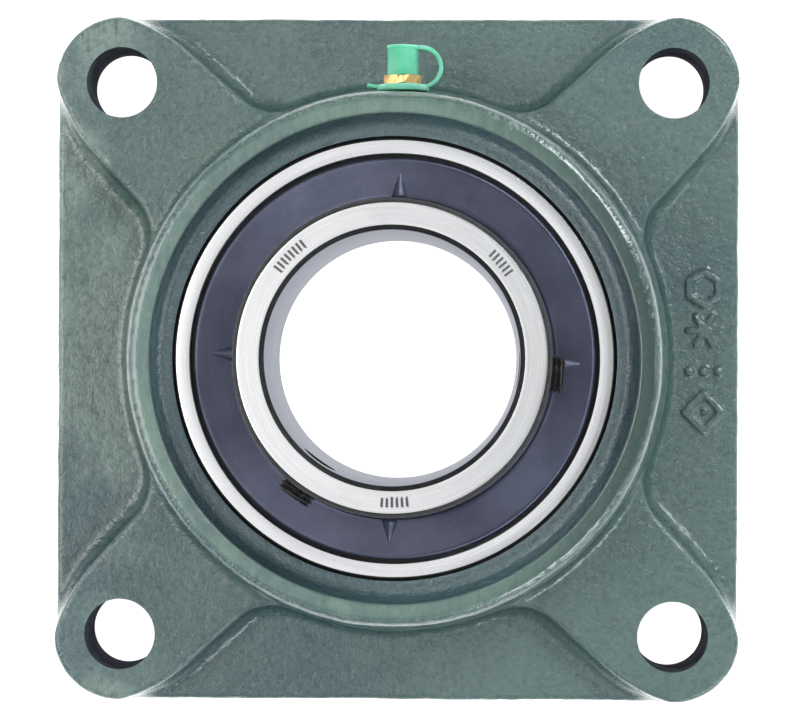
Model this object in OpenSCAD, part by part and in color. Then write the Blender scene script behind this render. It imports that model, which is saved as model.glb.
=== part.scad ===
// Square four-bolt flange bearing unit: a cast housing with a spherical seat,
// a self-aligning ball bearing insert locked to its shaft by set screws, and a
// capped grease nipple. Origin at the centre of the mounting face, +Z towards
// the set-screw side of the shaft, +Y towards the grease nipple. Millimetres.

/* [Flange] */
// Side of the square flange at the mounting face
flange_side = 187; // [184:1:192]
// Distance between neighbouring bolt holes
bolt_spacing = 149; // [146:1:150]
// Diameter of each bolt hole
bolt_hole_d = 19; // [14:0.5:21]
// Height of the bolt bosses above the mounting face
boss_h = 22; // [19:0.5:25]
// Thickness of the flange between the bosses
web_t = 15; // [11:0.5:17]
// Side draft of the casting in degrees
draft = 3; // [1:0.5:4]

/* [Housing ring] */
// Height of the ring above the mounting face
ring_h = 50; // [49:0.5:53]
// Outer radius of the ring at its front face
ring_top_r = 69.6; // [68:0.2:72]
// Outer radius of the ring at the mounting face
ring_foot_r = 74.6; // [72.6:0.5:76.6]
// Inner radius of the ring's front face, where the recess begins
recess_r = 63.7; // [62:0.1:65]
// Radius of the opening in the mounting face
back_bore_r = 59; // [58.8:0.1:59.6]

/* [Bearing insert] */
// Height of the bearing's centre above the mounting face
bearing_z = 30; // [30:0.5:31]
// Shaft diameter
shaft_d = 65; // [60:1:66]
// Diameter of the spherical outer ring
outer_d = 120; // [120:0.1:120.1]
// Width of the outer ring
outer_w = 28; // [27:0.5:28]
// Length of the inner ring on the set-screw side of the centre
inner_front = 39.7; // [38:0.1:42]
// Length of the inner ring on the mounting side of the centre
inner_back = 25.4; // [24:0.1:27]
// Outer radius of the inner ring
inner_r = 40.6; // [40.5:0.05:40.7]
// Radius of the circle of ball centres
pitch_r = 46.25; // [46.2:0.01:46.3]
// Ball diameter
ball_d = 16.669; // [16.4:0.001:16.7]
// Direction of the first set screw in degrees, the second is 120 degrees back
screw_angle = -5.5; // [-30:0.5:30]

/* [Grease nipple] */
// Height of the nipple's axis above the mounting face
nipple_z = 38; // [37.5:0.1:38.5]
// Sideways offset of the port, as drilled in the casting
nipple_x = 1.8; // [-2:0.1:2]
// Distance of the spot-faced seat from the bearing axis
nipple_seat_y = 70.4; // [69.8:0.1:70.6]
// Hexagon across flats
nipple_hex_af = 10; // [9:0.5:10]

/* [Hidden] */
$fn = 96;
eps = 0.01;

// Housing
bolt_offset = bolt_spacing / 2;
boss_foot_r = flange_side / 2 - bolt_offset;
web_half = flange_side / 2 - 0.4;
corner_cut = 17;
arm_start = 60;
arm_start_half_w = 20.2;
arm_end_half_w = 17.2;
ring_edge = 2.2;
seat_gap = 0.05;
seat_r = outer_d / 2 + seat_gap;
seat_front = 14.7;
seat_rim_r = sqrt(pow(seat_r, 2) - pow(seat_front, 2));
ledge_r = 60.4;
ledge_rise = 0.4;
back_chamfer = 1.5;
slot_clearance = 0.5;

// Bearing
ball_count = 10;
ball_r = ball_d / 2;
race_gap = 0.065;
race_r = 8.65;
outer_shoulder_r = 51.6;
seal_bore_r = 53.75;
seal_groove_r = 54.3;
seal_step = 9.6;
seal_groove_w = 1.6;
outer_chamfer = 1;
lube_z = nipple_z - bearing_z;
lube_groove_w = 3;
lube_groove_depth = 0.6;
lube_hole_r = 1.25;
bore_chamfer = 1.2;
inner_chamfer = 1.1;
cage_half_w = 2.65;
cage_t = 0.9;
pocket_r = 8.6;
pocket_t = 0.85;
cage_split = 0.02;
rivet_r = 0.9;
rivet_head_r = 1.7;
rivet_head_h = 0.6;
slinger_t = 1;
slinger_z = 12.6;
slinger_r = 52.8;
slinger_rim_z = 11.2;
slinger_collar_z = 16.6;
dart_tip_r = 49;
dart_half_w = 2.2;
dart_count = 4;
dart_turn = -1.5;
lip_gap = 0.06;
seal_core_in_r = 44;
seal_core_out_r = 53.2;
seal_core_t = 0.6;
seal_face_t = 0.4;
seal_z = 9.9;
bead_gap = 0.1;

// Set screws
screw_r = 4.9;
screw_hole_r = 5;
screw_pitch = 1.25;
screw_thread_depth = 0.7;
screw_tip_r = 34;
screw_length = 10;
screw_socket_af = 5;
screw_socket_depth = 4.5;
screw_from_face = 12;
screw_z = bearing_z + inner_front - screw_from_face;

// Nipple
port_r = 4.85;
port_depth = 8;
passage_r = 1.75;
spot_face_r = 9.6;
shank_r = 4.8;
shank_l = 7.5;
ring_t = 1.8;
hex_h = 2.3;
hex_turn = 30;
hex_base = nipple_seat_y + ring_t;
hex_top = hex_base + hex_h;
head_h = 6.6;
head_r = 3.25;
neck_r = 2.4;
tip_r = 1.9;
oil_hole_r = 0.9;
chamber_r = 1.4;
chamber_l = 8.5;
check_r = 1.3;
lip_h = 0.5;
spring_wire_r = 0.18;
spring_turns = 5;
spring_steps = 12;
spring_sides = 6;
spring_r = chamber_r - spring_wire_r - 0.08;
check_y = hex_top + head_h - lip_h - check_r - 0.05;
spring_low = hex_top + head_h - lip_h - chamber_l + spring_wire_r + 0.02;
spring_high = check_y - 0.97;
cap_r = 4.07;
cap_bore_r = 3.4;
cap_l = 8;
cap_lid_t = 0.9;
cap_lid_r = 4.35;
cap_gap = 0.1;
cap_top = hex_top + cap_gap + cap_l;
strap_t = 1.1;
strap_w = 3.6;
strap_out_r = 5.8;
strap_x = nipple_x + 4.85;
strap_start = 39;
cap_ring_r = 7;
cap_ring_hole_r = 5;
tab_left = 9.4;
tab_right = 10.7;

// Moves its children to the bearing's centre.
module at_bearing() {
    translate([0, 0, bearing_z]) children();
}

// The part of a section outside the radius r, for turned shapes.
module beyond(r, low, high, r_max = 90) {
    translate([r, low]) square([r_max - r, high - low]);
}

// Places children, drawn along +X, at the direction a about the bearing axis.
module around(a) {
    rotate([0, 0, a]) children();
}

// Turns children drawn along +Z so that they run along +Y from y.
module along_y(y, x = nipple_x, z = nipple_z) {
    translate([x, y, z]) rotate([-90, 0, 0]) children();
}

module at_bolts() {
    for (x = [-1, 1], y = [-1, 1])
        translate([x * bolt_offset, y * bolt_offset, 0]) children();
}

// ---------------------------------------------------------------- housing

module flange_web() {
    c = web_half - corner_cut;
    linear_extrude(height = web_t, scale = 1 - web_t * tan(draft) / web_half)
        polygon([[web_half, c], [c, web_half], [-c, web_half], [-web_half, c],
                 [-web_half, -c], [-c, -web_half], [c, -web_half], [web_half, -c]]);
}

// Arms and bosses stand over the top plane and are then levelled by one cut.
module boss_arms() {
    arm_end = bolt_offset * sqrt(2);
    over = 4;
    difference() {
        union() {
            for (a = [45:90:315])
                rotate([0, 0, a])
                    linear_extrude(height = boss_h + over / 2)
                        polygon([[arm_start, -arm_start_half_w], [arm_end, -arm_end_half_w],
                                 [arm_end, arm_end_half_w], [arm_start, arm_start_half_w]]);
            at_bolts()
                cylinder(r1 = boss_foot_r, r2 = boss_foot_r - (boss_h + over) * tan(draft),
                         h = boss_h + over);
        }
        translate([-flange_side, -flange_side, boss_h])
            cube([2 * flange_side, 2 * flange_side, over + 1]);
    }
}

module ring_wall() {
    rotate_extrude()
        polygon([[back_bore_r - 5, 0], [ring_foot_r, 0], [ring_top_r, ring_h - ring_edge],
                 [ring_top_r - ring_edge, ring_h], [back_bore_r - 5, ring_h]]);
}

// Everything cut from the middle of the casting: back bore, spherical seat, front recess.
module seat_cavity() {
    front_z = bearing_z + seat_front;
    rotate_extrude()
        polygon([[0, -1], [back_bore_r + back_chamfer + 1, -1],
                 [back_bore_r, back_chamfer], [back_bore_r, bearing_z - 10], [0, bearing_z - 10]]);
    intersection() {
        at_bearing() sphere(r = seat_r);
        translate([0, 0, bearing_z - 12]) cylinder(r = seat_r + 5, h = 12 + seat_front);
    }
    rotate_extrude()
        polygon([[0, front_z - eps], [seat_rim_r, front_z - eps], [ledge_r, front_z + ledge_rise],
                 [recess_r, ring_h], [recess_r + 1, ring_h + 1.5], [0, ring_h + 1.5]]);
}

// Two slots behind the seat, through which the insert goes in edge on before it is turned.
module loading_slots() {
    translate([-seat_r - slot_clearance, -outer_w / 2 - slot_clearance, -1])
        cube([2 * (seat_r + slot_clearance), outer_w + 2 * slot_clearance, bearing_z + 1]);
}

module nipple_port() {
    along_y(nipple_seat_y) cylinder(r = spot_face_r, h = 6);
    along_y(nipple_seat_y - port_depth) cylinder(r = port_r, h = port_depth + 1);
    along_y(56) cylinder(r = passage_r, h = nipple_seat_y - port_depth - 55);
}

module housing() {
    color("darkseagreen")
        difference() {
            union() {
                flange_web();
                boss_arms();
                ring_wall();
            }
            seat_cavity();
            loading_slots();
            nipple_port();
            at_bolts() translate([0, 0, -1]) cylinder(d = bolt_hole_d, h = boss_h + 2);
        }
}

// ---------------------------------------------------------------- rings

module outer_ring() {
    half = outer_w / 2;
    edge_r = sqrt(pow(outer_d / 2, 2) - pow(half, 2));
    color("silver")
        at_bearing()
            difference() {
                rotate_extrude()
                    difference() {
                        intersection() {
                            circle(d = outer_d);
                            beyond(outer_shoulder_r, -half, half);
                        }
                        translate([pitch_r + race_gap + ball_r - race_r, 0]) circle(r = race_r);
                        for (s = [-1, 1]) {
                            seal_pocket(s, half);
                            edge_break(s, edge_r, half);
                        }
                        beyond(outer_d / 2 - lube_groove_depth, lube_z - lube_groove_w / 2,
                               lube_z + lube_groove_w / 2);
                    }
                for (a = [90, 270])
                    around(a)
                        translate([outer_shoulder_r - 2, 0, lube_z])
                            rotate([0, 90, 0]) cylinder(r = lube_hole_r, h = 12);
            }
}

// Counterbore and snap groove that hold a seal.
module seal_pocket(side, half) {
    low = side > 0 ? seal_step : -half - 1;
    translate([outer_shoulder_r - 2, low])
        square([seal_bore_r - outer_shoulder_r + 2, half - seal_step + 1]);
    groove_low = side > 0 ? seal_step : -seal_step - seal_groove_w;
    translate([outer_shoulder_r - 2, groove_low])
        square([seal_groove_r - outer_shoulder_r + 2, seal_groove_w]);
}

// Triangle that breaks the outer ring's edge.
module edge_break(side, edge_r, half) {
    polygon([[edge_r - outer_chamfer, side * (half + eps)],
             [edge_r + 2, side * (half + eps)],
             [edge_r + 2, side * (half - outer_chamfer * 1.4)],
             [edge_r + 0.3, side * (half - outer_chamfer * 1.4)]]);
}

module inner_ring() {
    bore_r = shaft_d / 2;
    color("gainsboro")
        at_bearing()
            difference() {
                rotate_extrude()
                    difference() {
                        polygon([[bore_r, -inner_back + bore_chamfer],
                                 [bore_r + bore_chamfer, -inner_back],
                                 [inner_r - inner_chamfer, -inner_back],
                                 [inner_r, -inner_back + inner_chamfer],
                                 [inner_r, inner_front - inner_chamfer],
                                 [inner_r - inner_chamfer, inner_front],
                                 [bore_r + bore_chamfer, inner_front],
                                 [bore_r, inner_front - bore_chamfer]]);
                        translate([pitch_r - race_gap - ball_r + race_r, 0]) circle(r = race_r);
                    }
                for (a = [screw_angle, screw_angle - 120])
                    around(a)
                        translate([bore_r - 5, 0, inner_front - screw_from_face])
                            rotate([0, 90, 0]) cylinder(r = screw_hole_r, h = 20);
            }
}

// ---------------------------------------------------------------- slingers and seals

// Sheet-metal slinger pressed on the inner ring: collar, disc, bent rim and four darts.
module slinger() {
    at_bearing() {
        difference() {
            union() {
                rotate_extrude()
                    polygon([[inner_r, slinger_z], [slinger_r - slinger_t, slinger_z],
                             [slinger_r - slinger_t, slinger_rim_z], [slinger_r, slinger_rim_z],
                             [slinger_r, slinger_z + slinger_t * 0.6],
                             [slinger_r - slinger_t * 0.4, slinger_z + slinger_t],
                             [inner_r + slinger_t, slinger_z + slinger_t],
                             [inner_r + slinger_t, slinger_collar_z], [inner_r, slinger_collar_z]]);
                for (i = [0:dart_count - 1])
                    around(i * 360 / dart_count + dart_turn) dart();
            }
            translate([0, 0, slinger_z - 6]) cylinder(r = inner_r, h = 20);
        }
    }
}

// Half cone that stiffens the bend between the collar and the disc.
module dart() {
    intersection() {
        translate([inner_r + 0.3, 0, slinger_z + slinger_t])
            rotate([0, 90, 0])
                cylinder(r1 = dart_half_w, r2 = 0, h = dart_tip_r - inner_r - 0.3);
        translate([0, -10, slinger_z + slinger_t / 2]) cube([60, 20, 10]);
    }
}

module front_slinger() {
    color("darkslateblue") slinger();
}

module mirror_bearing() {
    translate([0, 0, 2 * bearing_z]) mirror([0, 0, 1]) children();
}

module rear_slinger() {
    color("darkslateblue") mirror_bearing() slinger();
}

module seal_core() {
    at_bearing()
        rotate_extrude()
            translate([seal_core_in_r, seal_z])
                square([seal_core_out_r - seal_core_in_r, seal_core_t]);
}

// Rubber bonded to the core: outer bead, face layer and a lip against the inner ring.
module seal_rubber() {
    top = seal_z + seal_core_t;
    at_bearing()
        rotate_extrude()
            polygon([[seal_core_in_r, seal_z], [seal_core_in_r, top], [seal_core_out_r, top],
                     [seal_core_out_r, seal_z], [seal_groove_r - bead_gap, seal_z],
                     [seal_groove_r - bead_gap, top + seal_face_t],
                     [seal_core_in_r - 1, top + seal_face_t],
                     [inner_r + lip_gap, top + seal_face_t * 0.6],
                     [inner_r + lip_gap, top - 0.1],
                     [seal_core_in_r - 1.6, seal_z]]);
}

module front_seal_core() {
    color("gray") seal_core();
}

module front_seal_rubber() {
    color("dimgray") seal_rubber();
}

module rear_seal_core() {
    color("gray") mirror_bearing() seal_core();
}

module rear_seal_rubber() {
    color("dimgray") mirror_bearing() seal_rubber();
}

// ---------------------------------------------------------------- balls and cage

module ball(i) {
    color("lightgray")
        at_bearing()
            around(i * 360 / ball_count) translate([pitch_r, 0, 0]) sphere(r = ball_r);
}

// One half of the riveted ribbon cage, the half above the ball centres.
module cage_half() {
    at_bearing()
        difference() {
            intersection() {
                union() {
                    translate([0, 0, cage_split])
                        cylinder(r = pitch_r + cage_half_w + 5, h = cage_t);
                    for (i = [0:ball_count - 1])
                        around(i * 360 / ball_count)
                            translate([pitch_r, 0, 0]) sphere(r = pocket_r + pocket_t);
                }
                difference() {
                    translate([0, 0, cage_split])
                        cylinder(r = pitch_r + cage_half_w, h = pocket_r + pocket_t + 1);
                    translate([0, 0, -1])
                        cylinder(r = pitch_r - cage_half_w, h = pocket_r + pocket_t + 3);
                }
            }
            for (i = [0:ball_count - 1])
                around(i * 360 / ball_count) {
                    translate([pitch_r, 0, 0]) sphere(r = pocket_r);
                    around(180 / ball_count)
                        translate([pitch_r, 0, -1]) cylinder(r = rivet_r, h = 4);
                }
        }
}

module cage_front() {
    color("tan") cage_half();
}

module cage_rear() {
    color("tan") mirror_bearing() cage_half();
}

module cage_rivets() {
    reach = cage_split + cage_t;
    color("silver")
        at_bearing()
            for (i = [0:ball_count - 1])
                around((i + 0.5) * 360 / ball_count)
                    translate([pitch_r, 0, 0]) {
                        translate([0, 0, -reach]) cylinder(r = rivet_r, h = 2 * reach);
                        for (s = [0, 180])
                            rotate([s, 0, 0])
                                translate([0, 0, reach])
                                    cylinder(r1 = rivet_head_r, r2 = rivet_r, h = rivet_head_h);
                    }
}

// ---------------------------------------------------------------- set screws

// Set screw lying along +X from its cup point, with the thread as evenly spaced ridges.
module set_screw() {
    root_r = screw_r - screw_thread_depth;
    ridges = floor((screw_length - 1.6) / screw_pitch);
    rotate([0, 90, 0])
        difference() {
            rotate_extrude()
                polygon(concat([[0, 0.8], [2, 0], [2.8, 0], [root_r, 1]],
                    [for (i = [0:ridges - 1]) each
                        [[root_r, 1 + i * screw_pitch],
                         [screw_r, 1 + (i + 0.42) * screw_pitch],
                         [screw_r, 1 + (i + 0.58) * screw_pitch],
                         [root_r, 1 + (i + 0.98) * screw_pitch]]],
                    [[root_r, screw_length - 0.4], [root_r - 0.4, screw_length],
                     [0, screw_length]]));
            translate([0, 0, screw_length - screw_socket_depth])
                cylinder(d = screw_socket_af / cos(30), h = screw_socket_depth + 1, $fn = 6);
        }
}

module placed_screw(a) {
    color("dimgray")
        around(a) translate([screw_tip_r, 0, screw_z]) set_screw();
}

// ---------------------------------------------------------------- grease nipple

module grease_nipple() {
    tip = hex_top + head_h;
    color("goldenrod")
        difference() {
            union() {
                along_y(nipple_seat_y - shank_l) cylinder(r = shank_r, h = shank_l + ring_t);
                along_y(hex_base)
                    rotate([0, 0, hex_turn])
                        cylinder(d = nipple_hex_af / cos(30), h = hex_h, $fn = 6);
                along_y(hex_top)
                    rotate_extrude()
                        polygon([[0, -1], [head_r - 0.1, -1], [head_r - 0.1, 0.8], [neck_r, 2],
                                 [neck_r, 2.8], [head_r, 3.8], [head_r, 4.9],
                                 [tip_r, head_h], [0, head_h]]);
            }
            along_y(nipple_seat_y - shank_l - 1) cylinder(r = oil_hole_r, h = shank_l + 3);
            along_y(tip - lip_h - chamber_l) cylinder(r = chamber_r, h = chamber_l);
            along_y(tip - lip_h - 1) cylinder(r = oil_hole_r, h = 3);
        }
}

module check_ball() {
    color("silver") along_y(check_y) sphere(r = check_r);
}

// Point i of the helix, in the nipple's own frame.
function coil_point(i) =
    let (turn = i / spring_steps)
    [spring_r * cos(360 * turn), spring_r * sin(360 * turn),
     (spring_high - spring_low) * turn / spring_turns];

// Ring of points round the wire at helix point i.
function wire_ring(i) =
    let (p = coil_point(i), a = 360 * i / spring_steps)
    [for (k = [0:spring_sides - 1])
        let (b = 360 * k / spring_sides)
        [p[0] + spring_wire_r * cos(b) * cos(a), p[1] + spring_wire_r * cos(b) * sin(a),
         p[2] + spring_wire_r * sin(b)]];

module check_spring() {
    n = spring_turns * spring_steps;
    points = [for (i = [0:n]) each wire_ring(i)];
    sides = [for (i = [0:n - 1], k = [0:spring_sides - 1])
        let (j = (k + 1) % spring_sides)
        [i * spring_sides + k, (i + 1) * spring_sides + k,
         (i + 1) * spring_sides + j, i * spring_sides + j]];
    ends = [[for (k = [0:spring_sides - 1]) k],
            [for (k = [spring_sides - 1:-1:0]) n * spring_sides + k]];
    color("silver") along_y(spring_low) polyhedron(points, concat(sides, ends));
}

module nipple_cap() {
    low = hex_top + cap_gap;
    color("mediumseagreen")
        difference() {
            union() {
                along_y(low) cylinder(r = cap_r, h = cap_l);
                along_y(cap_top - cap_lid_t) cylinder(r = cap_lid_r, h = cap_lid_t);
            }
            along_y(low - 1) cylinder(r = cap_bore_r, h = cap_l - cap_lid_t + 1);
        }
}

module cap_strap() {
    color("mediumseagreen")
        translate([strap_x, cap_top - strap_out_r, nipple_z - strap_w / 2])
            union() {
                rotate([0, 0, -90 + strap_start])
                    rotate_extrude(angle = 180 - strap_start)
                        translate([strap_out_r - strap_t, 0]) square([strap_t, strap_w]);
                translate([nipple_x + cap_lid_r + 0.05 - strap_x, strap_out_r - strap_t + 0.1, 0.1])
                    cube([strap_x - nipple_x - cap_lid_r + 0.1, strap_t - 0.3, strap_w - 0.2]);
            }
}

module cap_ring() {
    color("mediumseagreen")
        difference() {
            union() {
                along_y(nipple_seat_y) cylinder(r = cap_ring_r, h = ring_t);
                translate([nipple_x - tab_left, hex_base - strap_t, nipple_z - strap_w / 2])
                    cube([tab_left + tab_right, strap_t, strap_w]);
            }
            along_y(nipple_seat_y - 1) cylinder(r = cap_ring_hole_r, h = ring_t + 2);
        }
}

// ---------------------------------------------------------------- output

housing();
outer_ring();
inner_ring();
front_slinger();
rear_slinger();
front_seal_core();
front_seal_rubber();
rear_seal_core();
rear_seal_rubber();
cage_front();
cage_rear();
cage_rivets();
ball(0);  // ball_01
ball(1);  // ball_02
ball(2);  // ball_03
ball(3);  // ball_04
ball(4);  // ball_05
ball(5);  // ball_06
ball(6);  // ball_07
ball(7);  // ball_08
ball(8);  // ball_09
ball(9);  // ball_10
placed_screw(screw_angle);  // set_screw_a
placed_screw(screw_angle - 120);  // set_screw_b
grease_nipple();
check_ball();
check_spring();
nipple_cap();
cap_strap();
cap_ring();
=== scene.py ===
"""Looks of a square flange bearing unit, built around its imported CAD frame.

Sizes are in millimetres unless named otherwise, and angles are in degrees.
"""
import math

import bpy
import numpy as np
from mathutils import Matrix, Vector


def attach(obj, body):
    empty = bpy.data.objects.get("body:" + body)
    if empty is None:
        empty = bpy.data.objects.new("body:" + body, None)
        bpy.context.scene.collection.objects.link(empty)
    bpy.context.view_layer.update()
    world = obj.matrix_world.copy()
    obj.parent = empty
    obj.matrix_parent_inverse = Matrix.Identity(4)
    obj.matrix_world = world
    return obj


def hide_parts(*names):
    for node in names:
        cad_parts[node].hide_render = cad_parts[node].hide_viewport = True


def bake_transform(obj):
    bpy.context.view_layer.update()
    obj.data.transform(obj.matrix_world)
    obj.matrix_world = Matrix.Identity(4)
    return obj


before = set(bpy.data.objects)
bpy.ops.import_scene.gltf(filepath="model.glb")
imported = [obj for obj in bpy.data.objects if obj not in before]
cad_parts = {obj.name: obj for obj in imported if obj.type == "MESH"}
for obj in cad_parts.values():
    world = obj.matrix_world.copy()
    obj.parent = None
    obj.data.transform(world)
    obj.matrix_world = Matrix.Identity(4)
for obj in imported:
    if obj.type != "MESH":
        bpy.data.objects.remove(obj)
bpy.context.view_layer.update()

MM = 0.001
TAU = 2 * math.pi

# Housing casting: half the flange's side, its corners, half the bolt spacing, the holes and the bosses
HALF, CORNER_R, BOLT, HOLE_R, BOSS_R = 93.0, 18.8, 74.5, 9.5, 19.0
WEB_T, BOSS_H, RING_H = 15.0, 22.0, 50.0
RING_FOOT_R, RING_TOP_R = 74.6, 69.6
DRAFT = math.tan(math.radians(3))
RING_SLOPE = (RING_FOOT_R - RING_TOP_R) / RING_H
# The diagonal arms: half their width at ARM_FROM from the axis, how fast they narrow, and their sides' lean
ARM_HALF, ARM_FROM, ARM_TAPER, ARM_LEAN = 19.9, 70.0, 0.056, 0.26
# Edge length of the casting's mesh
CELL = 0.8

# Bearing insert
BEARING_Z = 30.0
PITCH_R, BALL_R, BALL_COUNT = 46.25, 8.3345, 10
INNER_R, BORE_R, INNER_FRONT, INNER_BACK = 40.6, 32.5, 39.7, 25.4
SCREW_ANGLES = (-5.5, -125.5)
SCREW_Z, SCREW_HOLE_R = 57.7, 5.0
# Ball groove: its radius, and the play between ball and groove
GROOVE_R, PLAY = 8.65, 0.065

# Grease nipple and cap
NIPPLE_X, NIPPLE_Z, SEAT_Y = 1.8, 38.0, 70.4
HEX_BASE, HEX_TOP, CAP_TOP = 72.2, 74.5, 82.6


# ------------------------------------------------------------------ camera

SENSOR, IMAGE_WIDTH, FOCAL = 36, 800, 2864.8
CAMERA_TURN = (-0.271, -1.325, -0.219)
CAMERA_AT = (0.45, -0.71, 793.8)


def add_camera():
    """A camera nearly straight over the bearing, turned as in the photograph."""
    rx, ry, rz = (math.radians(a) for a in CAMERA_TURN)
    world_to_cam = Matrix.Rotation(rz, 3, "Z") @ Matrix.Rotation(ry, 3, "Y") @ Matrix.Rotation(rx, 3, "X")
    data = bpy.data.cameras.new("camera")
    data.sensor_width = SENSOR
    data.lens = SENSOR * FOCAL / IMAGE_WIDTH
    data.clip_start, data.clip_end = 0.05, 20
    cam = bpy.data.objects.new("camera", data)
    bpy.context.scene.collection.objects.link(cam)
    to_world = world_to_cam.transposed()
    cam.matrix_world = Matrix.Translation(to_world @ Vector(CAMERA_AT) * MM) @ to_world.to_4x4()
    bpy.context.scene.camera = cam


add_camera()


# ------------------------------------------------------------------ node helper

class Nodes:
    """Builds a material's node tree with short calls."""

    def __init__(self, name):
        self.material = bpy.data.materials.new(name)
        self.material.use_nodes = True
        self.tree = self.material.node_tree
        self.bsdf = self.tree.nodes["Principled BSDF"]
        coords = self.add("ShaderNodeTexCoord")
        self.at = coords.outputs["Object"]

    def add(self, kind, **settings):
        node = self.tree.nodes.new(kind)
        for key, value in settings.items():
            setattr(node, key, value)
        return node

    def put(self, socket, value):
        if isinstance(value, bpy.types.NodeSocket):
            self.tree.links.new(value, socket)
        elif value is not None:
            socket.default_value = value

    def math(self, operation, a, b=None):
        node = self.add("ShaderNodeMath", operation=operation)
        for socket, value in zip(node.inputs, (a, b)):
            self.put(socket, value)
        return node.outputs[0]

    def times(self, a, b):
        return self.math("MULTIPLY", a, b)

    def plus(self, a, b):
        return self.math("ADD", a, b)

    def scaled(self, factors):
        node = self.add("ShaderNodeVectorMath", operation="MULTIPLY")
        self.put(node.inputs[0], self.at)
        node.inputs[1].default_value = factors
        return node.outputs[0]

    def noise(self, scale, detail=2.0, rough=0.5, vector=None, distortion=0.0):
        node = self.add("ShaderNodeTexNoise")
        self.put(node.inputs["Vector"], vector or self.at)
        node.inputs["Scale"].default_value = scale
        node.inputs["Detail"].default_value = detail
        node.inputs["Roughness"].default_value = rough
        node.inputs["Distortion"].default_value = distortion
        return node.outputs["Fac"]

    def between(self, value, low, high, to_low=0.0, to_high=1.0):
        node = self.add("ShaderNodeMapRange", interpolation_type="SMOOTHSTEP")
        names = ("Value", "From Min", "From Max", "To Min", "To Max")
        for name, number in zip(names, (value, low, high, to_low, to_high)):
            self.put(node.inputs[name], number)
        return node.outputs[0]

    def mix(self, factor, a, b):
        node = self.add("ShaderNodeMix", data_type="RGBA")
        self.put(node.inputs["Factor"], factor)
        for name, value in (("A", a), ("B", b)):
            socket = [s for s in node.inputs if s.name == name and s.type == "RGBA"][0]
            self.put(socket, (*value, 1) if isinstance(value, tuple) else value)
        return [s for s in node.outputs if s.type == "RGBA"][0]

    def attribute(self, name):
        return self.add("ShaderNodeAttribute", attribute_name=name).outputs["Fac"]

    def polar(self):
        """Radius from the bearing axis, angle and height, in metres and radians."""
        node = self.add("ShaderNodeSeparateXYZ")
        self.put(node.inputs[0], self.at)
        x, y, z = node.outputs
        radius = self.math("SQRT", self.plus(self.times(x, x), self.times(y, y)))
        return radius, self.math("ARCTAN2", y, x), z

    def ring_noise(self, scale, round_scale, detail=2.0, rough=0.5):
        """Noise drawn out into fine rings round the bearing axis, like turning or grinding marks."""
        radius, angle, z = self.polar()
        node = self.add("ShaderNodeCombineXYZ")
        drawn_out = (self.times(radius, scale), self.times(angle, round_scale), self.times(z, scale))
        for socket, value in zip(node.inputs, drawn_out):
            self.put(socket, value)
        return self.noise(1.0, detail, rough, vector=node.outputs[0])

    def side(self):
        """Distance towards -x from the bearing axis, in metres."""
        node = self.add("ShaderNodeSeparateXYZ")
        self.put(node.inputs[0], self.at)
        return self.times(node.outputs[0], -1.0)

    def turned(self, amount, turn):
        """Reflections drawn out round the bearing axis, or across with a quarter turn."""
        tangent = self.add("ShaderNodeTangent", direction_type="RADIAL", axis="Z")
        self.put(self.bsdf.inputs["Tangent"], tangent.outputs[0])
        self.bsdf.inputs["Anisotropic"].default_value = amount
        self.bsdf.inputs["Anisotropic Rotation"].default_value = turn

    def bump(self, height, distance_mm, strength=1.0):
        node = self.add("ShaderNodeBump")
        node.inputs["Strength"].default_value = strength
        node.inputs["Distance"].default_value = distance_mm * MM
        self.put(node.inputs["Height"], height)
        return node.outputs[0]

    def finish(self, **sockets):
        names = {"color": "Base Color", "rough": "Roughness", "metal": "Metallic", "normal": "Normal",
                 "coat": "Coat Weight", "coat_rough": "Coat Roughness", "coat_normal": "Coat Normal",
                 "spec": "Specular IOR Level", "ior": "IOR",
                 "transmission": "Transmission Weight", "sss": "Subsurface Weight",
                 "sss_radius": "Subsurface Radius", "sss_scale": "Subsurface Scale",
                 "emission": "Emission Color", "glow": "Emission Strength"}
        for key, value in sockets.items():
            if key in ("color", "emission") and isinstance(value, tuple):
                value = (*value, 1)
            self.put(self.bsdf.inputs[names[key]], value)
        return self.material


# ------------------------------------------------------------------ materials

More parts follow.
